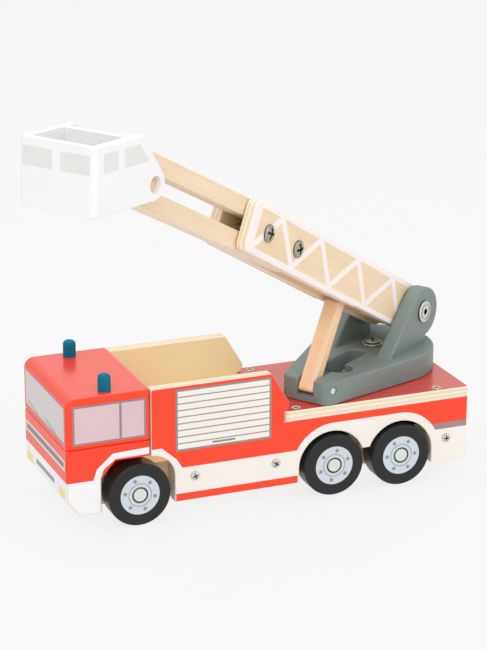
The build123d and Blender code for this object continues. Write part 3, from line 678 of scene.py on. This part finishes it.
def basket_material():
    """White paint, with pale grey windows on the front and the sides."""
    pivot = Vector(JOINTS["basket_tilt"]["pos_m"])
    up = LATERAL.cross(BASKET_ALONG)
    look = Look("basket_paint", origin=pivot, axes=(BASKET_ALONG, up, LATERAL), seed=50.0)
    ahead, above, across = look.u, look.v, look.w
    from_middle = look.math("ABSOLUTE", across)
    pane = look.fill(look.span(from_middle, *FRONT_PANE_ACROSS))
    front = look.all_of(pane, look.fill(look.span(above, *FRONT_PANE_HEIGHTS)))
    rear_pane = look.all_of(
        look.fill(look.math("SUBTRACT", ahead, REAR_PANE_AHEAD)),
        look.fill(look.below(ahead, above, *REAR_PANE_SLANT)),
    )
    side_pane = look.any_of(look.fill(look.span(ahead, *SIDE_PANE_AHEAD)), rear_pane)
    side = look.all_of(look.fill(look.span(above, *SIDE_PANE_HEIGHTS)), side_pane)
    sides = look.any_of(look.facing(LATERAL, 0.7, 0.9), look.facing(-LATERAL, 0.7, 0.9))
    outer = look.ramp(from_middle, BASKET_OUTER, BASKET_OUTER + 0.4)
    foremost = look.ramp(ahead, BASKET_FRONT, BASKET_FRONT + 0.4)
    windows = look.any_of(
        look.all_of(front, look.facing(BASKET_ALONG, 0.7, 0.9), foremost),
        look.all_of(side, sides, outer),
    )
    colour = look.mix(windows, BASKET_WHITE, WINDOW_GREY)
    return look.done(paint(look, colour, gloss=0.5, grain=0.6), bump=0.06, specular=0.2)


def steel_material(name, outward, floor, seed, origin=(0, 0, 0), tone=STEEL):
    """Zinc-plated steel, with painted shade on the floor of the recess of a head that faces outward and
    on the head's side walls.

    floor lies between the bottom of the recess and the head's face, in millimetres from the origin.
    """
    look = Look(name, origin=origin, axes=(outward, outward.orthogonal(), outward.cross(X)), seed=seed)
    marks = look.noise((2.2, 2.2, 2.2), detail=4.0)
    stains = look.noise((0.6, 0.6, 0.6), detail=3.0, shift=7)
    colour = look.mix(look.ramp(stains, 0.45, 0.8, 0.0, 0.35), tone, STEEL_STAIN_AND_SHADE)
    sunken = look.fill(look.math("SUBTRACT", look.u, floor))
    bottom = look.all_of(look.facing(outward, 0.97, 0.99), sunken)
    above_seat = look.outside(look.fill(look.math("SUBTRACT", look.u, floor - 1.5)))
    shaded_walls = look.all_of(look.outside(look.facing(outward, 0.1, 0.5)), above_seat)
    # Painted shade: the recess floor and the head's side walls are darkened
    colour = look.mix(look.any_of(bottom, shaded_walls), colour, STEEL_STAIN_AND_SHADE)
    roughness = look.ramp(marks, 0.3, 0.7, 0.28, 0.44)
    return look.done((colour, roughness, marks), bump=0.03, metallic=0.65)


def dress(node, material):
    """Gives a CAD node its material."""
    slots = frame["nodes"][node].data.materials
    slots.clear()
    slots.append(material)


def dress_truck():
    """The body of the truck and its wheels."""
    for name, outward in (("left", -1), ("right", 1)):
        dress(f"side_panel_{name}", panel_material(name, outward))
    dress("cab_upper", cab_material("cab_upper", windscreen, side_windows))
    dress("cab_lower", cab_material("cab_lower", lower_front, lower_side))
    dress("deck_plate", deck_material())
    dress("rear_block", plain_paint("rear_block_paint", RED, 0.36, 3.0))
    for name in ("left", "right"):
        dress(f"beacon_{name}", plain_paint(f"beacon_{name}_paint", TEAL, 0.22, 6.0, specular=0.12))
    dress("chassis_board", solid_wood("chassis_wood", (X, Y, Z), BIRCH_LIGHT, BIRCH_DARK, 60.0))
    wall_low, wall_high = box_mm("bay_bulkhead")
    dress("bay_bulkhead", board_material("bulkhead_wood", (Y, Z, X), wall_low.x, wall_high.x))
    dress("cab_dowels", solid_wood("dowel_wood", (Z, X, Y), BEECH_LIGHT, BEECH_DARK, 63.0))
    for place, phase in (("front", -11.0), ("middle", 19.0), ("rear", 0.0)):
        dress(f"axle_{place}", axle_material(place))
        for side in ("left", "right"):
            dress(f"wheel_{place}_{side}", wheel_material(place, side, phase))


def dress_ladder():
    """The turntable and the wooden pieces that it carries."""
    upright = LATERAL.cross(HEADING)
    dress("turntable_base", turntable_paint("turntable_paint", (HEADING, LATERAL, Z), 70.0))
    ear_axes = (upright, HEADING, LATERAL)
    for number, side in enumerate(("left", "right")):
        dress(f"ear_{side}", turntable_paint(f"ear_{side}_paint", ear_axes, 72.0 + number))
    for name, outward in (("left", -1), ("right", 1)):
        dress(f"boom_plate_{name}", boom_material(name, outward))
    pivot = Vector(JOINTS["boom_pitch"]["pos_m"])
    boom_axes = (BOOM_ALONG, LATERAL.cross(BOOM_ALONG), LATERAL)
    dress("boom_spacer", solid_wood("spacer_wood", boom_axes, BIRCH_LIGHT, BIRCH_DARK, 80.0, pivot))
    extend_axes = (EXTEND, LATERAL.cross(EXTEND), LATERAL)
    faces = (-EXTENSION_HALF, EXTENSION_HALF)
    dress("extension_board", board_material("extension_wood", extend_axes, *faces, pivot, 9, 84.0))
    prop_axes = (PROP_ALONG, LATERAL.cross(PROP_ALONG), LATERAL)
    dress("prop", solid_wood("prop_wood", prop_axes, BEECH_LIGHT, BEECH_DARK, 88.0, pores=0.7))
    basket = basket_material()
    for piece in ("cheek_left", "cheek_right", "front_wall", "rear_wall", "floor"):
        dress(f"basket_{piece}", basket)
    across_axes = (LATERAL, Z, HEADING)
    for number, node in enumerate(("basket_pin", "basket_spacers")):
        dress(node, solid_wood(f"{node}_wood", across_axes, BEECH_LIGHT, BEECH_DARK, 90.0 + number))


def dress_metal():
    """Screws, bolts, nuts and the washer.

    Each head's recess is found from the face that the head stands on or in.
    """
    pivot = Vector(JOINTS["boom_pitch"]["pos_m"])
    deck_top = box_mm("deck_plate")[1].z
    panel_face = box_mm("side_panel_right")[1].y
    washer_top = box_mm("tail_washer")[1].z
    for number, (side, outward) in enumerate((("left", -Y), ("right", Y))):
        name = f"side_screws_{side}"
        dress(name, steel_material(name, outward, panel_face + 0.7, 100.0 + number))
    dress("deck_screws", steel_material("deck_screws", Z, deck_top - 0.4, 102.0))
    dress("tail_bolt", steel_material("tail_bolt", Z, washer_top + 1.3, 103.0))
    dress("tail_washer", steel_material("tail_washer", Z, washer_top - 5, 104.0))
    bolt_floor, nut_floor, flange_floor = BOOM_OUTER + 1.1, BOOM_OUTER + 1.9, EAR_OUTER + 0.6
    dress("guide_bolts", steel_material("guide_bolts", -LATERAL, bolt_floor, 105.0, pivot, DIMMED_BOLT_STEEL))
    dress("guide_nuts", steel_material("guide_nuts", LATERAL, nut_floor, 106.0, pivot))
    dress("boom_pivot_bolt", steel_material("boom_pivot_bolt", -LATERAL, flange_floor, 107.0, pivot))
    dress("boom_pivot_nut", steel_material("boom_pivot_nut", LATERAL, flange_floor, 108.0, pivot))
    plain = plain_paint("plain_steel", STEEL, 0.3, 109.0)
    for node in ("turntable_bolt", "turntable_nut", "prop_pin"):
        dress(node, plain)


# Studio


def make_floor():
    """A pale floor that glows a little, so that it is as light as the backdrop."""
    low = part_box("wheel_front_left")[0]
    mesh = bpy.data.meshes.new("studio_floor")
    half = FLOOR_SIZE / 2
    corners = [(-half, -half, low.z), (half, -half, low.z), (half, half, low.z), (-half, half, low.z)]
    mesh.from_pydata(corners, [], [(0, 1, 2, 3)])
    floor = bpy.data.objects.new("studio_floor", mesh)
    bpy.context.scene.collection.objects.link(floor)
    material = bpy.data.materials.new("studio_floor")
    material.use_nodes = True
    nodes, links = material.node_tree.nodes, material.node_tree.links
    nodes.clear()
    glow = nodes.new("ShaderNodeEmission")
    glow.inputs["Color"].default_value = srgb(*[BACKDROP_LEVEL] * 3)
    matte = nodes.new("ShaderNodeBsdfDiffuse")
    matte.inputs["Color"].default_value = (0.85, 0.85, 0.85, 1)
    mix = nodes.new("ShaderNodeMixShader")
    mix.inputs["Fac"].default_value = 0.15
    output = nodes.new("ShaderNodeOutputMaterial")
    links.new(glow.outputs[0], mix.inputs[1])
    links.new(matte.outputs[0], mix.inputs[2])
    links.new(mix.outputs[0], output.inputs["Surface"])
    mesh.materials.append(material)


def add_light(name, place, target, size, power):
    """A square soft light that points at a target."""
    light = bpy.data.lights.new(name, "AREA")
    light.shape = "SQUARE"
    light.size = size
    light.energy = power
    lamp = bpy.data.objects.new(name, light)
    lamp.location = place
    lamp.rotation_mode = "QUATERNION"
    lamp.rotation_quaternion = (Vector(target) - Vector(place)).to_track_quat("-Z", "Y")
    bpy.context.scene.collection.objects.link(lamp)


def make_lights():
    """An even white world and three soft lights."""
    world = bpy.data.worlds.new("studio")
    world.use_nodes = True
    background = world.node_tree.nodes["Background"]
    background.inputs["Color"].default_value = (1.0, 1.0, 1.0, 1)
    background.inputs["Strength"].default_value = 0.72
    bpy.context.scene.world = world
    middle = (0.0, -0.03, 0.1)
    add_light("key", (-0.9, -1.6, 1.5), middle, 1.2, 15)
    add_light("fill", (1.4, -1.3, 0.9), middle, 1.4, 6)
    add_light("top", (0.1, 0.5, 2.0), middle, 1.6, 14)


def make_camera():
    """The camera that the photo was taken from."""
    camera = bpy.data.cameras.new("camera")
    camera.lens = CAMERA_LENS
    camera.clip_start, camera.clip_end = 0.05, 60.0
    azimuth, elevation = math.radians(CAMERA_AZIMUTH), math.radians(CAMERA_ELEVATION)
    forward = Vector(
        (
            math.sin(azimuth) * math.cos(elevation),
            math.cos(azimuth) * math.cos(elevation),
            -math.sin(elevation),
        )
    )
    holder = bpy.data.objects.new("camera", camera)
    holder.location = Vector(CAMERA_TARGET) - CAMERA_DISTANCE * forward
    holder.rotation_mode = "QUATERNION"
    roll = Matrix.Rotation(math.radians(CAMERA_ROLL), 3, -forward).to_quaternion()
    holder.rotation_quaternion = roll @ forward.to_track_quat("-Z", "Y")
    bpy.context.scene.collection.objects.link(holder)
    bpy.context.scene.camera = holder


make_camera()
make_floor()
make_lights()
bpy.context.scene.view_settings.view_transform = "Standard"
dress_truck()
dress_ladder()
dress_metal()
